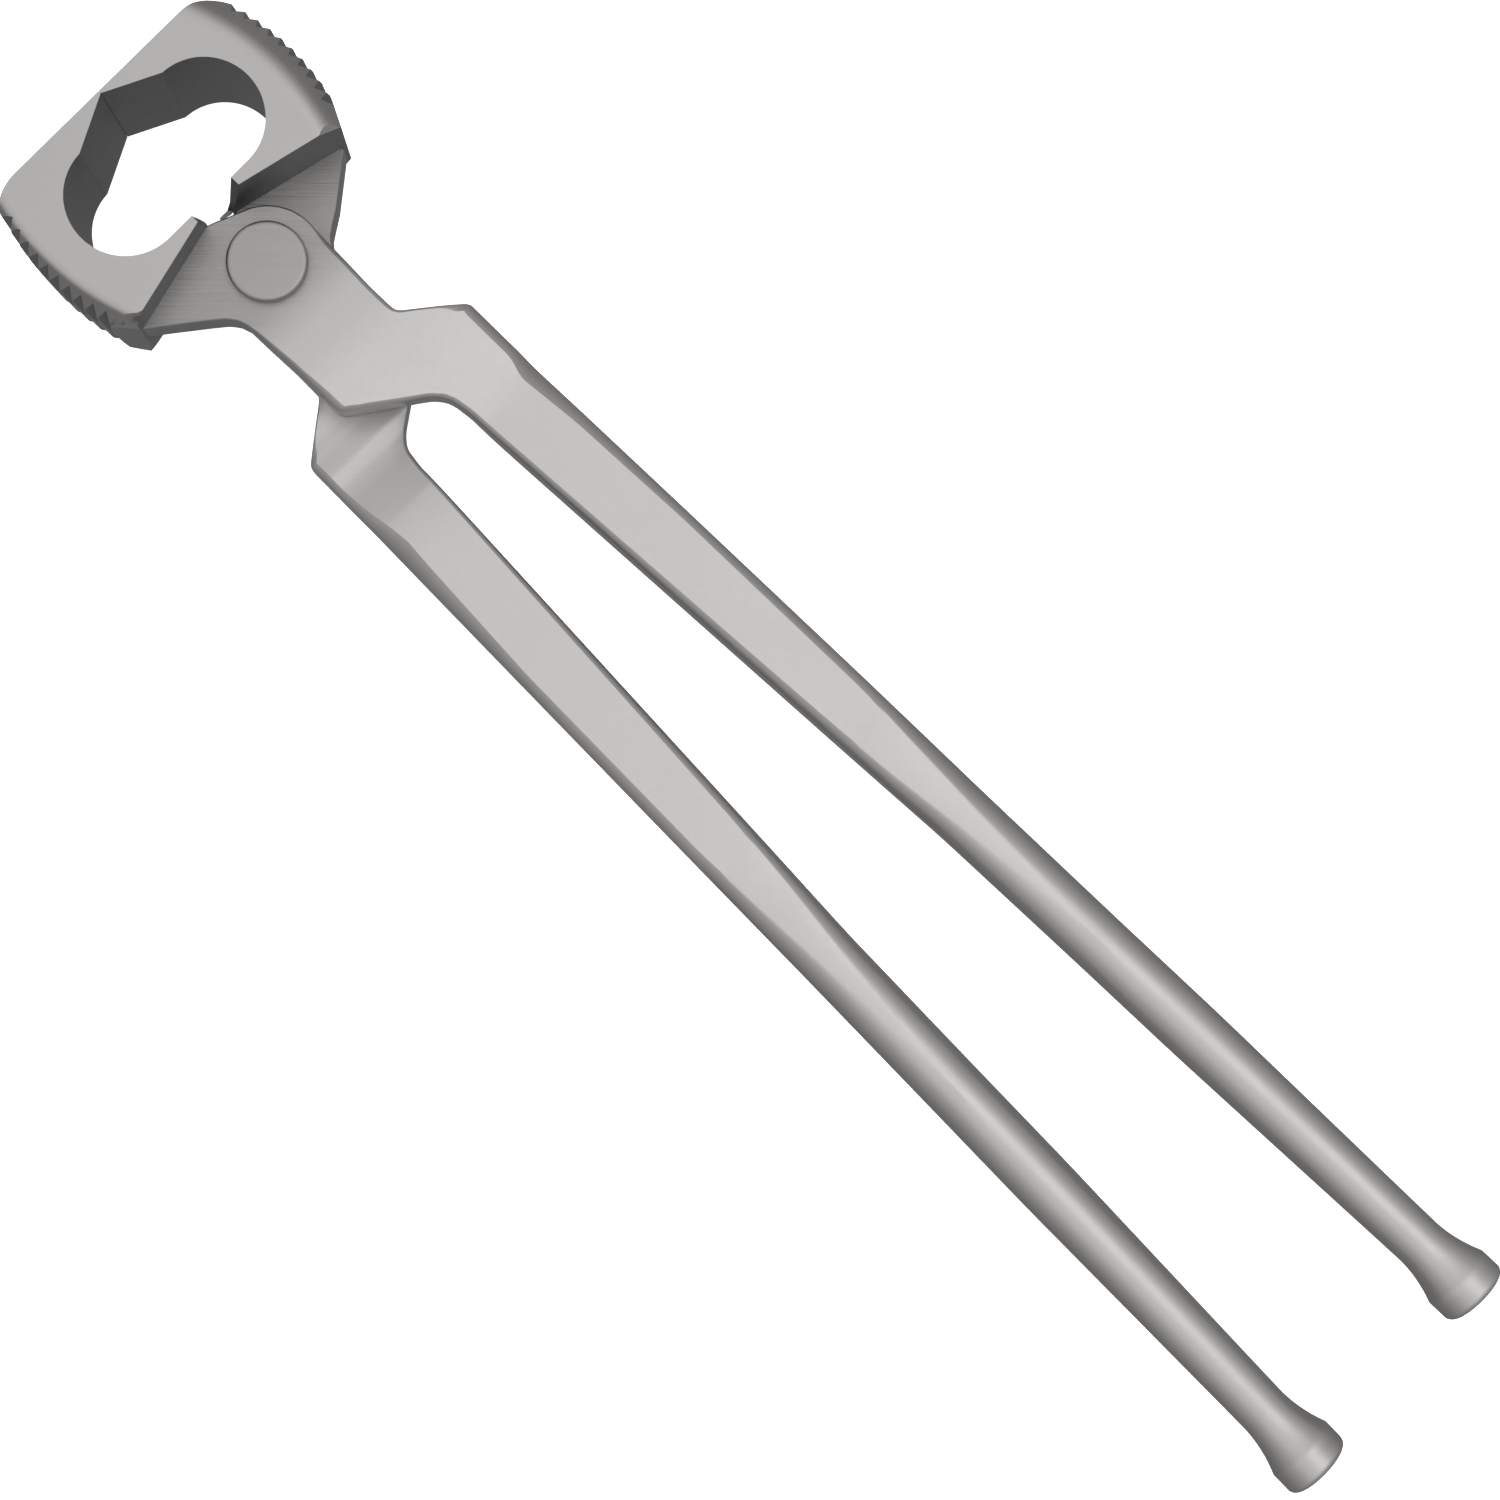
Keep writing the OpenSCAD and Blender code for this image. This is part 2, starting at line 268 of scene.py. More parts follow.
def low_side_barrel(peak):
    """Ground edge on the side with the low step: a crisp, steep bevel."""
    profile = [(80, -30), (80, 8), (61.3, 8), (56.5, 17.0), (56.2, 17.7), (55.8, 18.1),
               (55.2, 18.35), (54.2, 18.5)]
    return turned("low edge barrel", profile, (-29, 56.0 - peak), BARREL_SIDES)


def tall_side_barrel(peak):
    """Ground edge on the other side: it rolls over gently and runs down further."""
    profile = [(80, 30), (80, -7), (61, -7), (60.2, -9.6), (59.2, -12), (57.4, -15.2), (56, -17),
               (55.3, -17.6), (54.5, -18.05), (53.5, -18.35), (52, -18.5)]
    return turned("tall edge barrel", profile, (-24, 55.2 - peak), BARREL_SIDES)


def heel_flats(jaw, flats, height, fall):
    """Small slanting flats that round the corner between the ground edge and the step."""
    for x, y, turn in flats:
        side = math.radians(turn)
        slice_off(jaw, (x, y, height), (math.sin(side), -math.cos(side), fall))


def make_jaw_block(peak, lean, heel):
    jaw = block("jaw", (-REACH, -BLANK_SIDE, -20), (-4, -BLADE_GAP, 20))
    soften(jaw, CORNER_R, 20, lambda m, e: m.x < -43.9 and m.y < -33.5 and abs(m.z) < 1)
    wall = (math.cos(STEP_ANGLE), math.sin(STEP_ANGLE), 0)
    slice_off(jaw, (-STEP_X, 0, 0), wall)
    slice_off(jaw, (-STEP_X + TALL_WALL, 0, 0), (wall[0], wall[1], -lean / HEAD_Z))
    slice_off(jaw, (heel[0], heel[1], 0), (math.sin(heel[2]), -math.cos(heel[2]), 0))
    bow = turned("bow barrel", [(BOW_R - 0.5, -22), (BOW_R, -8), (BOW_R, 8), (BOW_R - 0.3, 22)],
                 (BOW_X, BOW_R - peak), BARREL_SIDES)
    cut_with(jaw, bow, "INTERSECT")
    cut_with(jaw, low_side_barrel(peak - LOW_BEVEL), "INTERSECT")
    cut_with(jaw, tall_side_barrel(peak - TALL_BEVEL), "INTERSECT")
    heel_flats(jaw, LOW_HEEL, HEAD_Z, LOW_HEEL_FALL)
    heel_flats(jaw, TALL_HEEL, -HEAD_Z, TALL_HEEL_FALL)
    true_up(jaw)
    paint_step_walls(jaw, wall)
    return jaw


def paint_step_walls(jaw, wall):
    """Faces that lie on either step wall, and face along it, get the dark skin, partly painted shade."""
    jaw.data.materials.append(SKIN_AND_SHADE)
    for face in jaw.data.polygons:
        middle = from_pivot(face.center)
        gap = (middle.x + STEP_X) * wall[0] + middle.y * wall[1]
        along = abs(face.normal.x * wall[0] + face.normal.y * wall[1])
        face.material_index = 1 if -2 < gap < 0.8 and along > 0.95 else 0


print("jaw is", 2 * HEAD_Z, "mm thick and reaches", REACH, "mm ahead of the rivet")

# %% [markdown]
# ## The mouth
# Each blade is ground straight from the cutting edge and runs into a round scoop. The cutter
# is a cylinder joined to a wedge; the scoop and the blade then meet in one softened corner.
# Behind the mouth the two jaws must pass each other, so their roots are cut back on a slant.

# %% Mouth, blade and root
MOUTH_R = 11.7
MOUTH = (-26.3, -10.6)
EDGE_LAND = 0.6  # flat left at the cutting edge
BLADE_TURN = math.radians(26)
ROOTS = ((-1, 3.2, 0), (1, 0, 0), (1, 1.6, 8))  # side, slant and start height of each clearance


def make_mouth_cutter():
    front = MOUTH[0] - MOUTH_R
    floor = MOUTH[0] + MOUTH_R
    tip = -REACH + EDGE_LAND
    blade_y = -(front - tip) / math.tan(BLADE_TURN)
    # Both cutters are painted dark, so the mouth takes the dark skin, partly painted shade in the hollow.
    scoop = turned("scoop", [(MOUTH_R, -25), (MOUTH_R, 25)], MOUTH, 128)
    paint(scoop, SKIN_AND_SHADE)
    wedge = prism("wedge", [(tip, 0.0), (front, blade_y), (MOUTH[0], MOUTH[1]), (floor, MOUTH[1]),
                            (floor, 1.0), (tip, 1.0)], -24, 24)
    paint(wedge, SKIN_AND_SHADE)
    return cut_with(scoop, wedge, "UNION")


def cut_mouth(jaw):
    cut_with(jaw, make_mouth_cutter())
    for side, slant, start in ROOTS:
        root = block("root", (-25, -2.9, start), (-2, 6, 24))
        mesh = pick_up(root, "VERT")
        for vertex in mesh.verts:
            place = from_pivot(vertex.co)
            if place.z > 20 and place.y < 0:
                vertex.co.y -= slant * (24 - start) / (HEAD_Z - start) * MM
            vertex.co.z = PIVOT.z + side * place.z * MM
        bmesh.update_edit_mesh(root.data)
        put_down()
        true_up(root)
        # The root clearances take the dark skin too, partly painted shade.
        paint(root, SKIN_AND_SHADE)
        cut_with(jaw, root)
    true_up(jaw)


print("the mouth's scoop is", 2 * MOUTH_R, "mm across")

# %% [markdown]
# ## Soft edges
# Nothing on a used tool is perfectly sharp. A bevel of a few tenths along every rim catches
# the light as a thin line, and the corner between scoop and blade is blended further. The
# blade itself stays crisp, so edges on the cutting line are left out.


# %% Soften the jaw
RIM_BREAK = 0.3
BLADE_BLEND = 1.6
ROOT_BLEND = 0.8


def sharp(edge, least=25):
    return len(edge.link_faces) == 2 and edge.calc_face_angle(0) > math.radians(least)


def upright(edge):
    run = edge.verts[1].co - edge.verts[0].co
    return abs(run.z) > 0.9 * run.length


def soften_jaw(jaw):
    def at_blade(m, e):
        return upright(e) and sharp(e) and abs(m.x + 38) < 0.5 and m.y < -9

    def at_root(m, e):
        return upright(e) and sharp(e) and -15 < m.x < -12.5 and m.y > -3.6

    def on_rim(m, e):
        return sharp(e) and m.y < -0.4 and not (upright(e) and m.x < -30 and m.y > -3)

    soften(jaw, BLADE_BLEND, 4, at_blade)
    soften(jaw, ROOT_BLEND, 3, at_root)
    soften(jaw, RIM_BREAK, 2, on_rim)


print("rims are broken by", RIM_BREAK, "mm")

# %% [markdown]
# ## The serrated side
# The outer side of each jaw is notched like a coarse file, deepest at the bevels and running
# out towards the middle of the thickness, because a forging die has to let go of the steel.
# One sharp prism is modelled for each bevel, then copied round the bow, one copy for each notch.
# Now and then the boolean solver leaves a sliver of a cutter behind. A cut can't make a piece
# reach further out, so each cut is measured, and made again from the same start if it did.

# %% Notches
NOTCHES = 10
NOTCH_PITCH = 2.9
NOTCH_SPARE = 0.9
CUT_TRIES = 6
LOW_NOTCH = (0.0, 19.5, 48.1, 45.7)  # from height, to height, from radius, to radius
TALL_NOTCH = (-19.5, 4.0, 45.2, 48.1)


def notch_cutter(low, high, low_r, high_r):
    """A V bar whose tip runs from radius low_r at height low to high_r at height high."""
    half = NOTCH_PITCH / 2 + NOTCH_SPARE
    bar = prism("notch", [(0, 0), (-half, -half), (half, -half)], low, high)
    for vertex in bar.data.vertices:
        share = (from_pivot(vertex.co).z - low) / (high - low)
        vertex.co.y -= (low_r + (high_r - low_r) * share) * MM
    # The notches take the dark skin, partly painted shade in their valleys.
    paint(bar, SKIN_AND_SHADE)
    return bar


def reach_of(piece):
    """How far the piece reaches from the pivot along each axis, in millimetres."""
    places = [from_pivot(vertex.co) for vertex in piece.data.vertices]
    return [max(abs(place[axis]) for place in places) for axis in range(3)]


def cut_cleanly(piece, tool):
    """Cuts with the tool, again if a sliver of it is left; the tool is used up."""
    before = piece.data.copy()
    limit = reach_of(piece)
    for _ in range(CUT_TRIES):
        again = tool.copy()
        again.data = tool.data.copy()
        bpy.context.scene.collection.objects.link(again)
        cut_with(piece, again)
        if all(now < old + MERGE for now, old in zip(reach_of(piece), limit)):
            break
        piece.data = before.copy()
        print("a cut left a sliver and is made again")
    bpy.data.objects.remove(tool)
    bpy.data.meshes.remove(before)


def cut_notches(jaw, peak):
    step = math.degrees(NOTCH_PITCH / BOW_R)
    bars = [notch_cutter(*LOW_NOTCH), notch_cutter(*TALL_NOTCH)]
    put_down()
    for bar in bars:
        for i in range(NOTCHES):
            copy = bar.copy()
            copy.data = bar.data.copy()
            bpy.context.scene.collection.objects.link(copy)
            turn = math.radians((i - (NOTCHES - 1) / 2) * step)
            swing = Matrix.Translation(at(BOW_X, BOW_R - peak)) @ Matrix.Rotation(turn, 4, "Z")
            copy.data.transform(swing @ Matrix.Translation(-PIVOT))
            cut_cleanly(jaw, copy)
        bpy.data.objects.remove(bar)
    true_up(jaw)


print(NOTCHES, "notches,", NOTCH_PITCH, "mm apart")

# %% [markdown]
# ## Plate, bend and rein
# From the jaw backwards the half is one long bar that keeps changing its section: a flat
# plate round the rivet, a wide shank, an offset bend, a flat rein with ground bevels that
# turns round, and a flared end. A row of cross-sections describes it best. The end face of
# a first ring is pulled back from station to station, and laid on the next section each time.


# %% Reading a table
def linear(x, table):
    if x <= table[0][0]:
        return table[0][1]
    for (xa, ya), (xb, yb) in zip(table, table[1:]):
        if x <= xb:
            return ya + (yb - ya) * (x - xa) / (xb - xa)
    return table[-1][1]


def eased(x, table, reach):
    """The table's value with its corners rounded over reach on each side."""
    return sum(linear(x + reach * k / 6, table) for k in range(-6, 7)) / 13


print("halfway between 2 and 4 the table gives", linear(0.5, [(0, 2), (1, 4)]))

# %% [markdown]
# ## How the bar changes along its length
# Each table pairs a distance behind the rivet with a size there: where the outer and inner
# sides lie, how high the top and the foot are, and how wide each ground bevel is. Straight
# runs need only their two ends. The plate's round edge follows a circle about the rivet.

# %% Sides, top and foot
SHANK = 11.15  # half the shank's width
PLATE_R = 11.3  # radius of the lap plate round the rivet
ROUND_FROM = 208  # the rein is a round bar from here on
TAPER = (172.0, 19.3)  # where the rein's straight run starts, and its centre line there
END_Y = 23.0
BAR_R = 6.0
RIM_R = 7.4
RIM_LONG = 5.5
RIM_SOFT = 1.5  # radius of the rim's softened end corner
FLARE = 11.0
WAIST_R = 5.2

OUTER = [(-14.2, -4.6), (-13.4, -3.4), (-12.9, -1.6), (-12.0, 0.3), (-10.9, 3.1)]
OUTER += [(-x / 2, math.sqrt(PLATE_R**2 - (x / 2) ** 2)) for x in range(20, -4, -1)]
OUTER += [(2.2, SHANK), (10, 11.0), (17, 10.75), (23, 10.85), (24.2, 11.2), (32.7, 22.3),
          (53, 22.65), (172, 25.3), (REIN_END, 25.3 + END_Y - TAPER[1])]
INNER = [(-14.2, -27.2), (-8.3, -27.2), (2.4, -13.4), (4.0, -12.2), (6.0, -11.5), (8.5, -SHANK),
         (17, -10.75), (23, -10.8), (28, -11.0), (30.4, -10.6), (40.4, 3.85), (42.3, 5.55),
         (44.2, 6.35), (48, 6.95), (53, 7.15), (172, 13.3), (REIN_END, END_Y - BAR_R)]
TOP = [(23.1, LAP_TOP), (49, 5.5), (172, 6.0)]
FOOT_OUTER = [(23.1, LAP_FOOT), (30, -1.0), (46, -4.2), (52, -5.1), (58, -5.5), (172, -6.0)]
FOOT_INNER = [(38.2, LAP_FOOT), (40.5, -0.3), (43, -1.2), (46, -2.4), (52, -4.6), (56, -5.3),
              (62, -5.55), (172, -6.0)]
print("the rein tapers over", round(ROUND_FROM - TAPER[0]), "mm into a bar of", 2 * BAR_R, "mm")

# %% Ground bevels and their roundness
TOP_OUTER_BEVEL = [(-14.2, 0.3), (2, 0.3), (5, 0.9), (22, 0.9), (25, 0.5), (30, 0.5), (33, 2.2),
                   (46, 2.2), (50, 3.6), (56, 3.1), (64, 2.5), (92, 1.9), (140, 2.1), (156, 3.2),
                   (172, 4.3), (194, 5.4), (ROUND_FROM, 6.0)]
TOP_INNER_BEVEL = [(-14.2, 0.35), (8, 0.35), (20, 0.8), (28, 1.6), (31, 1.0), (38, 0.8), (53, 1.0),
                   (117, 1.6), (140, 1.9), (156, 2.4), (172, 3.6), (194, 5.2), (ROUND_FROM, 6.0)]
FOOT_OUTER_BEVEL = [(-14.2, 0.3), (30, 0.3), (33, 1.6), (41, 1.5), (47, 2.0), (53, 3.0), (57, 3.5),
                    (62, 3.1), (92, 2.0), (140, 2.1), (156, 3.0), (172, 4.1), (194, 5.3),
                    (ROUND_FROM, 6.0)]
FOOT_INNER_BEVEL = [(-14.2, 0.3), (38, 0.3), (44, 0.7), (53, 0.8), (117, 1.5), (140, 1.8),
                    (156, 2.5), (172, 3.7), (194, 5.2), (ROUND_FROM, 6.0)]
BEVELS = (TOP_OUTER_BEVEL, TOP_INNER_BEVEL, FOOT_INNER_BEVEL, FOOT_OUTER_BEVEL)
ROUND = [(23, 0.35), (53, 0.3), (140, 0.35), (172, 0.6), (ROUND_FROM, 1.0)]
print("widest bevel:", max(width for table in BEVELS for _, width in table), "mm")

# %% [markdown]
# ## One cross-section
# A section is a rectangle with four worked corners. Each corner's points run from a flat
# chamfer to a quarter of an ellipse as its roundness goes from 0 to 1, so the same number of
# points serves the sharp shank, the bevelled rein and the round bar.


# %% Corners, round bar and section
CORNER = 9  # points in each corner


def corner_arc(quarter, wide, high, roundness):
    points = []
    start = math.radians(90 * quarter)
    for k in range(CORNER):
        share = k / (CORNER - 1)
        turn = math.radians(90 * (quarter + share))
        c = math.cos(start)
        s = math.sin(start)
        flat = ((1 - share) * c - share * s, (1 - share) * s + share * c)
        points.append((wide * (roundness * math.cos(turn) + (1 - roundness) * flat[0]),
                       high * (roundness * math.sin(turn) + (1 - roundness) * flat[1])))
    return points


def bar_size(x):
    """Radius of the round bar and of its flared end."""
    shoulder = REIN_END - RIM_LONG
    waist = shoulder - FLARE
    if x > REIN_END - RIM_SOFT:
        drop = min(1.0, (x - (REIN_END - RIM_SOFT)) / RIM_SOFT)
        return RIM_R - RIM_SOFT * (1 - math.sqrt(max(0.0, 1 - drop * drop)))
    if x > shoulder:
        return RIM_R
    if x > waist:
        return WAIST_R + (RIM_R - WAIST_R) * ((x - waist) / FLARE) ** 2
    return eased(x, [(ROUND_FROM, BAR_R), (waist - 60, BAR_R), (waist, WAIST_R)], 6)


def slant(x, table):
    """How much wider a bevel must be across the bar where its side runs at a slant."""
    rise = abs(linear(x + 0.4, table) - linear(x - 0.4, table)) / 0.8
    return math.hypot(1, min(2.5, rise))


def sole_point(x, outer, inner, low, high):
    """One point on the underside, where the plate's flat lap ends and the rein's foot begins."""
    blend = min(1, max(0, (x - 35) / 12))
    blend = blend * blend * (3 - 2 * blend)
    under_lap = max(min(0.5 - inner, outer - 2.5), inner + 1.5)
    under_rein = inner + 0.3 * (outer - inner) + 1.5
    return min(max((1 - blend) * under_lap + blend * under_rein, low), high)


def section(x, lap_out):
    """Points of the cross-section at x, outer top corner first, as (y, z) from the pivot."""
    if x > ROUND_FROM:
        centre = linear(x, [TAPER, (REIN_END, END_Y)])
        r = bar_size(x)
        outer, inner, top, foot_o, foot_i = centre + r, centre - r, r, -r, -r
    else:
        sharp_end = 0.25 if x < 9 else 0.7 if x < 52 else 3.0
        outer = eased(x, OUTER, sharp_end)
        inner = eased(x - lap_out * min(1, max(0, (5 - x) / 5)), INNER, sharp_end)
        top = eased(x, TOP, 3.5)
        foot_o = eased(x, FOOT_OUTER, 3.5)
        foot_i = min(linear(x, FOOT_INNER), top - 4)
    roundness = eased(x, ROUND, 6)
    half = (top - foot_o) / 2 if x > 49 else 4.2
    across = (outer - inner) / 2
    widths = [half if x > ROUND_FROM else min(eased(x, table, 1.5), half) for table in BEVELS]
    slopes = [slant(x, OUTER), slant(x, INNER), slant(x, INNER), slant(x, OUTER)]
    points = []
    feet = [top, top, foot_i, foot_o]
    sides = [outer, inner, inner, outer]
    for quarter in range(4):
        wide = min(widths[quarter] * slopes[quarter], across)
        high = widths[quarter]
        y0 = sides[quarter] - wide * (1 if quarter in (0, 3) else -1)
        z0 = feet[quarter] - high * (1 if quarter < 2 else -1)
        points += [(y0 + dy, z0 + dz) for dy, dz in corner_arc(quarter, wide, high, roundness)]
        if quarter == 2:
            low = points[-1][0]
            high = max(low, outer - widths[3] * slopes[3])
            points.append((sole_point(x, outer, inner, low, high), foot_i))
    return points


print("a section has", len(section(100, 0)), "points")

# %% [markdown]
# ## Pulling the bar
# The bar starts as one ring in front of the rivet. Its end face is extruded to the next
# station, and each moved point is set on the new section, close together where the shape
# changes fast and further apart on the straight rein.


# %% Pull the bar through its stations
def spaced(start, stop, step):
    count = max(1, round((stop - start) / step))
    return [start + (stop - start) * i / count for i in range(count)]


RUNS = ((-13.9, 0.4), (-8, 1.0), (23, 0.6), (54, 3.0), (ROUND_FROM, 4.0), (294, 0.8), (306.1, 1.0),
        (310.1, 0.15), (REIN_END, 0))  # where each run of stations starts, and its spacing
STATIONS = [x for (a, step), (b, _) in zip(RUNS, RUNS[1:]) for x in spaced(a, b, step)] + [REIN_END]


def make_bar(lap_out):
    ring = section(STATIONS[0], lap_out)
    put_down()
    bpy.ops.mesh.primitive_circle_add(vertices=len(ring), radius=MM, fill_type="NGON",
                                      location=at(STATIONS[0], 0, 0))
    bar = settle(bpy.context.object, "bar")
    for vertex, (y, z) in zip(bar.data.vertices, ring):
        vertex.co = at(STATIONS[0], y, z)
    pick_up(bar, "FACE")
    bpy.ops.mesh.select_all(action="SELECT")
    for x_from, x_to in zip(STATIONS, STATIONS[1:]):
        bpy.ops.mesh.extrude_region_move(
            TRANSFORM_OT_translate={"value": ((x_to - x_from) * MM, 0, 0)})
        mesh = bmesh.from_edit_mesh(bar.data)
        moved = [v for v in mesh.verts if v.select]
        old = [Vector(at(x_to, y, z)) for y, z in ring]
        ring = section(x_to, lap_out)
        free = set(range(len(old)))
        for vertex in moved:
            nearest = min(sorted(free), key=lambda k: (old[k] - vertex.co).length_squared)
            free.remove(nearest)
            vertex.co = at(x_to, *ring[nearest])
        bmesh.update_edit_mesh(bar.data)
    put_down()
    true_up(bar)
    return bar


print(len(STATIONS), "stations from", STATIONS[0], "to", STATIONS[-1], "mm")

# %% [markdown]
# ## Two halves from one pattern
# Both halves come from the same forging die, and one is turned over about the long axis, so
# one function makes both. The rest is hand grinding, which is never quite the same twice:
# the height of the bow, the lean of the step, the heel cut, the lap edge and the length all
# get their own values. Last, each half is bored: tight on the rivet in front, free behind.

# %% Join jaw and bar into one half
TRIM_RUN = 60  # a shorter rein is drawn in over this length


def make_half(peak, lean, heel, lap_out, shorter=0.0):
    """One forging; its bow, step, heel, lap edge and length are all ground by hand."""
    jaw = make_jaw_block(peak, lean, heel)
    cut_mouth(jaw)
    soften_jaw(jaw)
    cut_notches(jaw, peak)
    half = cut_with(jaw, make_bar(lap_out), "UNION")
    true_up(half)
    for vertex in half.data.vertices:
        past = from_pivot(vertex.co).x - (REIN_END - TRIM_RUN)
        if past > 0:
            vertex.co.x -= shorter * past / TRIM_RUN * MM
    return half


def turn_over(piece):
    """Half a turn about the long axis through the rivet's middle."""
    piece.data.transform(Matrix.Translation(PIVOT) @ Matrix.Rotation(math.pi, 4, "X")
                         @ Matrix.Translation(-PIVOT))
    true_up(piece)
    return piece


# %% Hand a piece over
SMOOTH_TO = math.radians(28)


def ready(piece, name, body, node):
    piece.name = name
    piece.data.name = name
    put_down()
    piece.select_set(True)
    bpy.context.view_layer.objects.active = piece
    bpy.ops.object.shade_smooth_by_angle(angle=SMOOTH_TO)
    weigh = piece.modifiers.new("even", "WEIGHTED_NORMAL")
    weigh.keep_sharp = True
    weigh.weight = 80
    bpy.ops.object.modifier_apply(modifier=weigh.name)
    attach(piece, body)
    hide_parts(node)
    return piece


# %% Two halves
RIVET_R = 5.5
RUNNING_BORE_R = 5.55

half = make_half(peak=32.4, lean=1.9, heel=(-10.8, -29.3, math.radians(41)), lap_out=-0.25,
                 shorter=1.1)
other = turn_over(make_half(peak=33.1, lean=0.3, heel=(-8.6, -28.8, math.radians(27)), lap_out=1.2))
cut_with(half, turned("bore", [(RIVET_R, -2), (RIVET_R, 12)]))
cut_with(other, turned("bore", [(RUNNING_BORE_R, -12), (RUNNING_BORE_R, 2)]))
print("each half has about", len(half.data.polygons), "faces")
front = ready(half, "front_half_forging", "front_body", "front_half")
rear = ready(other, "rear_half_forging", "rear_body", "rear_half")


# %% [markdown]
# ## The rivet
# One rivet holds the tool together. It is a plain pin with a low, flat head on each side,
# turned and then pressed, so its rims are soft. It could be three cylinders joined, but one
# lathe profile gives it whole, with the soft rims already in it.

# %% Rivet
HEAD_R = 7.9
HEAD_TOP = 11.15
HEAD_RIM = ((0.9, 0.03), (0.5, 0.07), (0.25, 0.2), (0.08, 0.4), (0.0, 0.65))  # in from the side, down


def make_rivet():
    rim = [(HEAD_R - inwards, HEAD_TOP - down) for inwards, down in HEAD_RIM]
    seats = [(HEAD_R, 8.66), (RIVET_R, 8.66), (RIVET_R, -8.71), (HEAD_R, -8.71)]
    under = [(radius, -height) for radius, height in reversed(rim)]
    profile = [(1.0, HEAD_TOP)] + rim + seats + under + [(1.0, -HEAD_TOP)]
    return turned("rivet_turned", [(r, z) for r, z in reversed(profile)], sides=128)


rivet = ready(make_rivet(), "rivet_turned", "front_body", "rivet")
print("rivet head is", 2 * HEAD_R, "mm across")

# %% [markdown]
# ## Writing a material as arithmetic
# A material is a tree of nodes, and wiring each one by hand is hard to read. `Amount` wraps a
# number socket and adds the Math node for each sign used on it. `Board` adds any other node,
# with its settings first and then its values and links.


# %% Node maths
class Amount:
    """A number that changes over the surface, so that node maths reads like ordinary maths."""

    def __init__(self, board, socket):
        self.board = board
        self.socket = socket

    def _with(self, operation, a, b):
        node = self.board.tree.nodes.new("ShaderNodeMath")
        node.operation = operation
        for slot, value in zip(node.inputs, (a, b)):
            if isinstance(value, Amount):
                self.board.tree.links.new(value.socket, slot)
            elif value is not None:
                slot.default_value = value
        return Amount(self.board, node.outputs[0])

    def __add__(self, other):
        return self._with("ADD", self, other)

    def __radd__(self, other):
        return self._with("ADD", other, self)

    def __sub__(self, other):
        return self._with("SUBTRACT", self, other)

    def __rsub__(self, other):
        return self._with("SUBTRACT", other, self)

    def __mul__(self, other):
        return self._with("MULTIPLY", self, other)

    def __rmul__(self, other):
        return self._with("MULTIPLY", other, self)


class Board:
    """A node tree, with one way to add any node, and the shader or output that ends it."""

    def __init__(self, tree, end):
        self.tree = tree
        self.end = end

    def plug(self, slot, value):
        if isinstance(value, Amount):
            self.tree.links.new(value.socket, slot)
        elif hasattr(value, "is_output"):
            self.tree.links.new(value, slot)
        else:
            slot.default_value = value

    def node(self, kind, settings=None, inputs=None, output=0):
        node = self.tree.nodes.new(kind)
        for key, value in (settings or {}).items():
            if key == "stops":
                self.set_stops(node.color_ramp, value)
            else:
                setattr(node, key, value)
        for key, value in (inputs or {}).items():
            self.plug(node.inputs[key], value)
        out = node.outputs[output]
        return Amount(self, out) if out.type == "VALUE" else out

    def set_stops(self, ramp, stops):
        while len(ramp.elements) < len(stops):
            ramp.elements.new(1.0)
        for stop, (place, shade) in zip(ramp.elements, stops):
            stop.position = place
            stop.color = (shade, shade, shade, 1)

    def feed(self, name, value):
        self.plug(self.end.inputs[name], value)


def material_board(name):
    """A material, found by its name or made new, and the board of its nodes."""
    material = bpy.data.materials.get(name) or bpy.data.materials.new(name)
    material.use_nodes = True
    tree = material.node_tree
    return material, Board(tree, tree.nodes["Principled BSDF"])


print("boards ready for", STEEL.name, "and", SKIN_AND_SHADE.name)
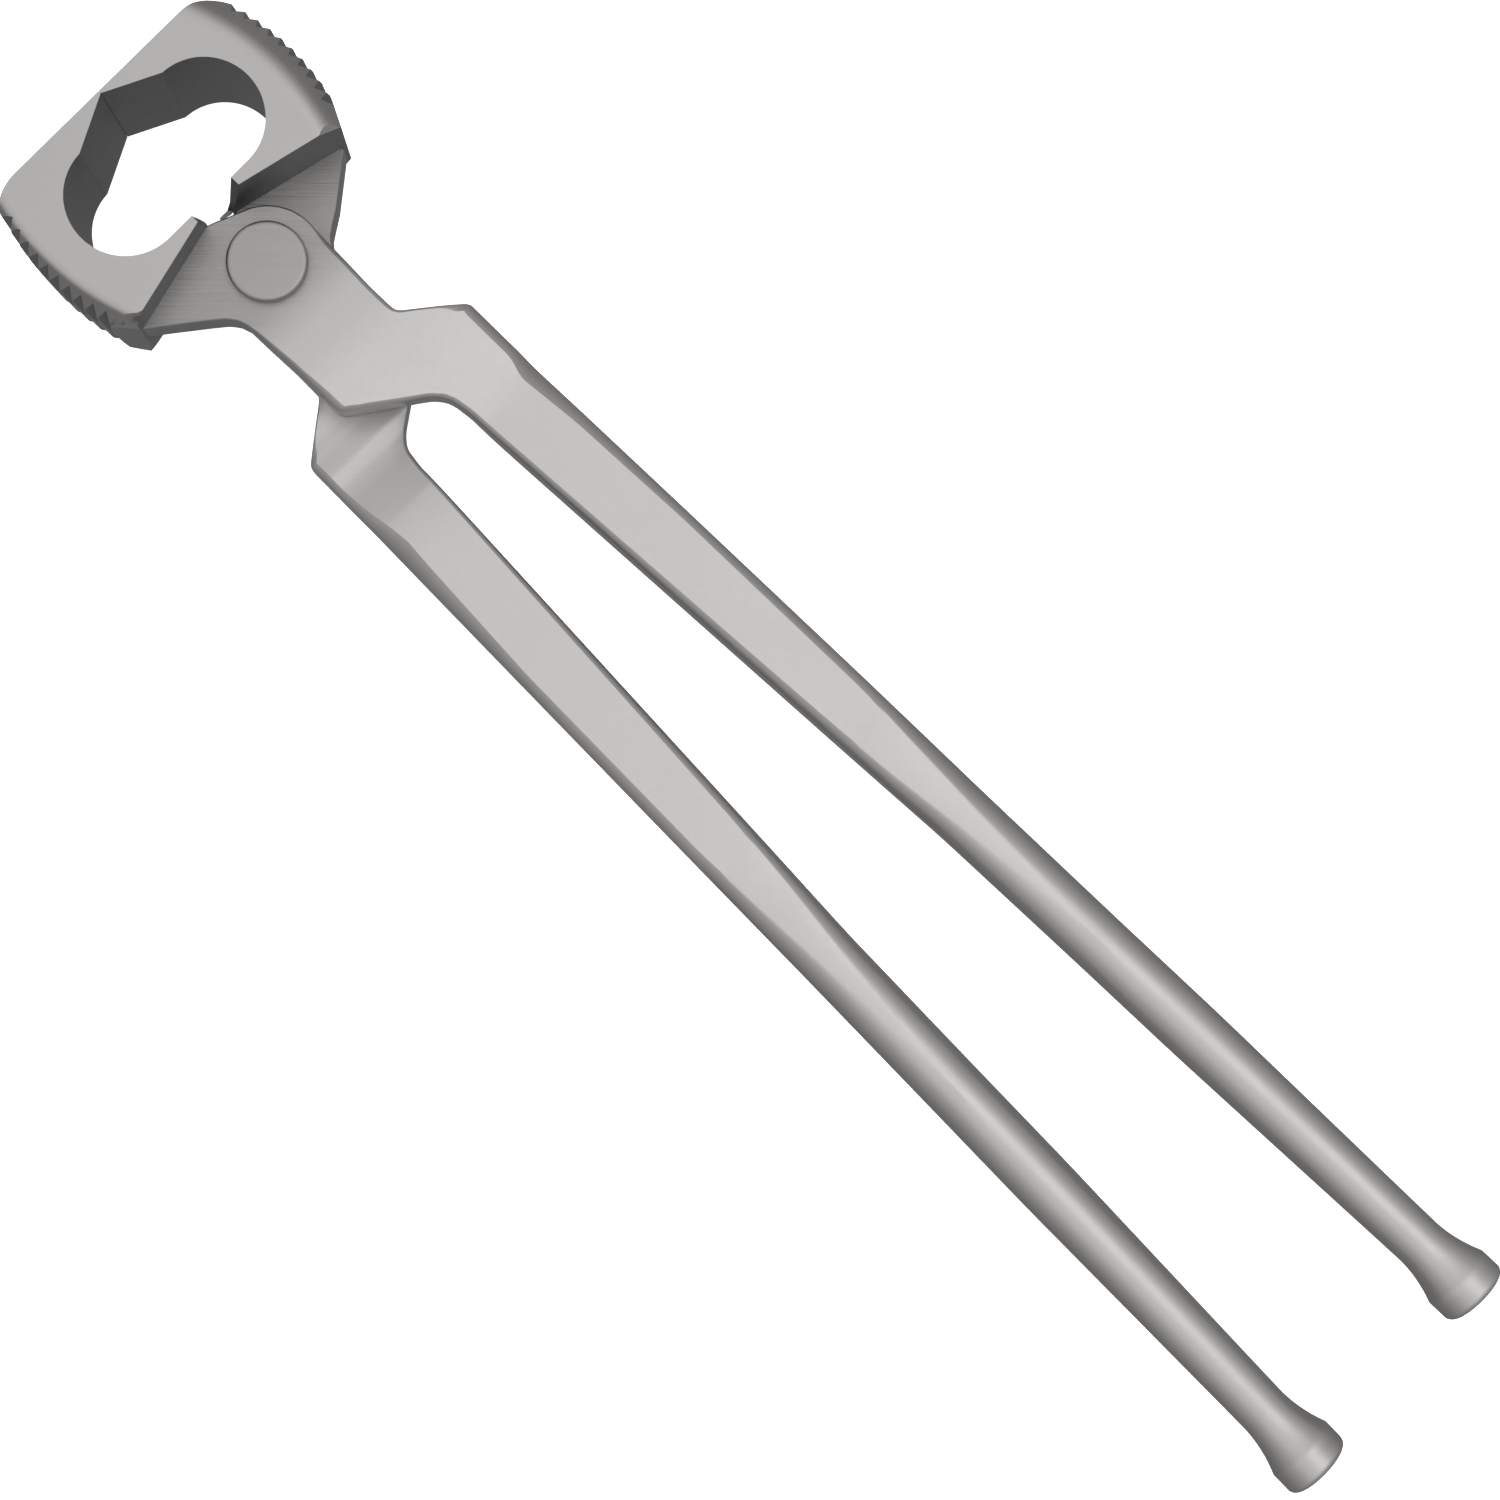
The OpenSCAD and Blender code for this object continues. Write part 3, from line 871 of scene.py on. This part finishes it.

# %% [markdown]
# ## Ground steel
# Belt-ground steel is a metal whose shine is broken by fine lines and soft clouds of wear.
# Upright walls get a darker colour than flat faces, which is painted shade, and the flats on
# the jaw are a little darker than those behind it. The lap plates are darker as well, and keep
# slanting grinding lines, because only a small wheel reaches them. So the tone mixes three
# noises with masks that come from where a spot lies and which way it faces.

# %% Ground steel
def ground_steel(name, tone, wall_tone_with_painted_shade, tint, rough, lap_tone=1.0):
    material, board = material_board(name)
    place = board.node("ShaderNodeTexCoord", output="Object")
    apart = board.node("ShaderNodeSeparateXYZ", inputs={"Vector": place}, output="X")
    height = board.node("ShaderNodeSeparateXYZ", inputs={"Vector": place}, output="Z")
    normal = board.node("ShaderNodeNewGeometry", output="Normal")
    tilt = board.node("ShaderNodeSeparateXYZ", inputs={"Vector": normal}, output="Z")
    flatness = board.node("ShaderNodeMath", {"operation": "ABSOLUTE"}, {0: tilt})
    facing = board.node("ShaderNodeMapRange", {"interpolation_type": "SMOOTHSTEP"},
                        {"Value": flatness, "From Min": 0.1, "From Max": 0.8})
    near = board.node("ShaderNodeMapRange", {"interpolation_type": "SMOOTHSTEP"},
                      {"Value": apart, "From Min": PIVOT.x + 0.016, "From Max": PIVOT.x + 0.004})
    low = board.node("ShaderNodeMapRange", {},
                     {"Value": height, "From Min": PIVOT.z + 0.0115, "From Max": PIVOT.z + 0.0105})
    lap = near * low
    cloud = board.node("ShaderNodeTexNoise", inputs={"Vector": place, "Scale": 70.0, "Detail": 4.0})
    broad = board.node("ShaderNodeTexNoise", inputs={"Vector": place, "Scale": 22.0, "Detail": 2.0})
    grain = board.node("ShaderNodeTexNoise", inputs={"Vector": place, "Scale": 900.0, "Detail": 3.0})
    stretch = board.node("ShaderNodeMapping", {"vector_type": "TEXTURE"}, {
        "Vector": place, "Rotation": (0, 0, math.radians(45)), "Scale": (1.0, 0.03, 1.0)})
    lines = board.node("ShaderNodeTexNoise", inputs={"Vector": stretch, "Scale": 60.0, "Detail": 4.0})
    head = board.node("ShaderNodeMapRange", {"interpolation_type": "SMOOTHSTEP"},
                      {"Value": apart, "From Min": PIVOT.x + 0.05, "From Max": PIVOT.x - 0.005})
    # Upright walls take a darker tone than flat faces: painted shade. Flats on the jaw are 13% darker.
    shade = wall_tone_with_painted_shade + (tone * (1.0 - head * 0.13) - wall_tone_with_painted_shade) * facing
    shade = shade * (1.0 - lap * (1.0 - lap_tone)) + (cloud - 0.5) * 0.05 + (broad - 0.5) * 0.04
    shade = shade + (lines - 0.5) * lap * 0.16
    colour = board.node("ShaderNodeCombineColor", inputs={
        "Red": shade * tint[0], "Green": shade * tint[1], "Blue": shade * tint[2]})
    board.feed("Base Color", colour)
    board.feed("Metallic", 1.0)
    board.feed("Roughness", rough + (cloud - 0.5) * 0.14 + (grain - 0.5) * 0.08 + (lines - 0.5) * lap * 0.2)
    bump = board.node("ShaderNodeBump", inputs={
        "Strength": 0.12, "Distance": 0.0003, "Height": lines * facing * (0.4 + lap) + grain * 0.3})
    board.feed("Normal", bump)
    return material


# The second number is the darker tone of upright walls, which is painted shade.
ground_steel("ground steel", 0.575, 0.42, (1.0, 0.978, 0.96), 0.4, 0.7)
# The dark skin of the mouth, step walls and notches is partly painted shade of these hollows.
ground_steel("dark skin and painted shade", 0.25, 0.25, (0.97, 0.98, 1.0), 0.5)
rivet_steel = ground_steel("turned rivet steel", 0.45, 0.4, (1.0, 0.978, 0.965), 0.42)
paint(rivet, rivet_steel)
print("materials:", [m.name for m in front.data.materials])

# %% [markdown]
# ## The floor
# The tool lies on a pale board that glows a little, like a light table, so that its shadow
# stays faint. Steel mirrors what is round it, and a bright floor would wash out the dark
# walls, so the floor is hidden from reflections.

# %% Floor
put_down()
bpy.ops.mesh.primitive_plane_add(size=12, location=(0, 0, -0.0002))
floor = bpy.context.object
floor.name = "floor"
floor_finish, floor_board = material_board("pale floor")
floor_board.feed("Base Color", (0.93, 0.93, 0.93, 1))
floor_board.feed("Roughness", 0.9)
floor_board.feed("Emission Color", (1, 1, 1, 1))
floor_board.feed("Emission Strength", 0.8)
floor.data.materials.append(floor_finish)
floor.visible_glossy = False
print("floor is", round(floor.dimensions.x), "m across")

# %% [markdown]
# ## Soft light
# Bare steel shows only what it reflects, so the sky does most of the work. It is bright
# overhead, like a wide soft box, and darker towards the horizon, which is what draws the
# walls and bevels. One brighter patch behind the handles lights the bend. The camera itself
# sees a plain pale backdrop, and a large lamp lifts the floor without being mirrored.

# %% Sky
SKY = [(0.0, 0.26), (0.35, 0.26), (0.5, 0.34), (0.68, 0.44), (0.82, 0.62), (0.9, 0.86), (1.0, 0.88)]
GLOW_TOWARDS = Vector((0.16, 0.24, 0.96))
GLOW_EDGE = math.cos(math.radians(24))
GLOW_CORE = math.cos(math.radians(4))
BACKDROP = 0.95

world = bpy.data.worlds.new("studio")
bpy.context.scene.world = world
world.use_nodes = True
world.node_tree.nodes.clear()
sky = Board(world.node_tree, world.node_tree.nodes.new("ShaderNodeOutputWorld"))
way = sky.node("ShaderNodeTexCoord", output="Generated")
upwards = sky.node("ShaderNodeSeparateXYZ", inputs={"Vector": way}, output="Z")
height = sky.node("ShaderNodeMapRange", inputs={"Value": upwards, "From Min": -1.0})
dome = sky.node("ShaderNodeValToRGB", {"stops": SKY}, {"Fac": height})
near = sky.node("ShaderNodeVectorMath", {"operation": "DOT_PRODUCT"},
                {0: way, 1: GLOW_TOWARDS.normalized()}, "Value")
glow = sky.node("ShaderNodeMapRange", {"interpolation_type": "SMOOTHSTEP"},
                {"Value": near, "From Min": GLOW_EDGE, "From Max": GLOW_CORE, "To Max": 0.58})
both = sky.node("ShaderNodeMath", {"operation": "ADD"}, {0: dome, 1: glow})
shine = sky.node("ShaderNodeBackground", inputs={"Color": both})
plain = sky.node("ShaderNodeBackground", inputs={"Color": (BACKDROP, BACKDROP, BACKDROP, 1)})
seen = sky.node("ShaderNodeLightPath", output="Is Camera Ray")
sky.feed("Surface", sky.node("ShaderNodeMixShader", inputs={0: seen, 1: shine, 2: plain}))
bpy.context.scene.view_settings.view_transform = "Standard"
print("sky runs from", SKY[0][1], "below to", SKY[-1][1], "overhead")

# %% Floor lamp
put_down()
bpy.ops.object.light_add(type="AREA", location=(0, 0, 1.6))
lamp = bpy.context.object
lamp.name = "floor fill"
lamp.data.size = 1.5
lamp.data.energy = 22
lamp.rotation_euler = (-lamp.location).to_track_quat("-Z", "Y").to_euler()
lamp.visible_glossy = False
print("lamp gives", lamp.data.energy, "W")

# %% [markdown]
# ## The camera
# A tool like this is shown flat, from straight above, lying across the frame from corner to
# corner. The camera is close enough for the deep jaws to show their inner walls. Its turn is
# built from three directions, because the upward one sets how the tool lies in the frame.

# %% Camera
VIEW_ALONG = Vector((0.0052, 0.0635, -0.998))
VIEW_UP = Vector((-0.7023, 0.7107, 0.0416))

bpy.ops.object.camera_add(location=(-0.0043, -0.0425, 0.6701))
camera = bpy.context.object
look = VIEW_ALONG.normalized()
right = look.cross(VIEW_UP).normalized()
up = right.cross(look)
camera.matrix_world = Matrix.Translation(camera.location) @ Matrix(
    (right, up, -look)).transposed().to_4x4()
camera.data.sensor_width = 36
camera.data.angle = math.radians(25.45)
camera.data.clip_start = 0.01
bpy.context.scene.camera = camera
print("camera stands", round(camera.location.z, 3), "m above the floor")
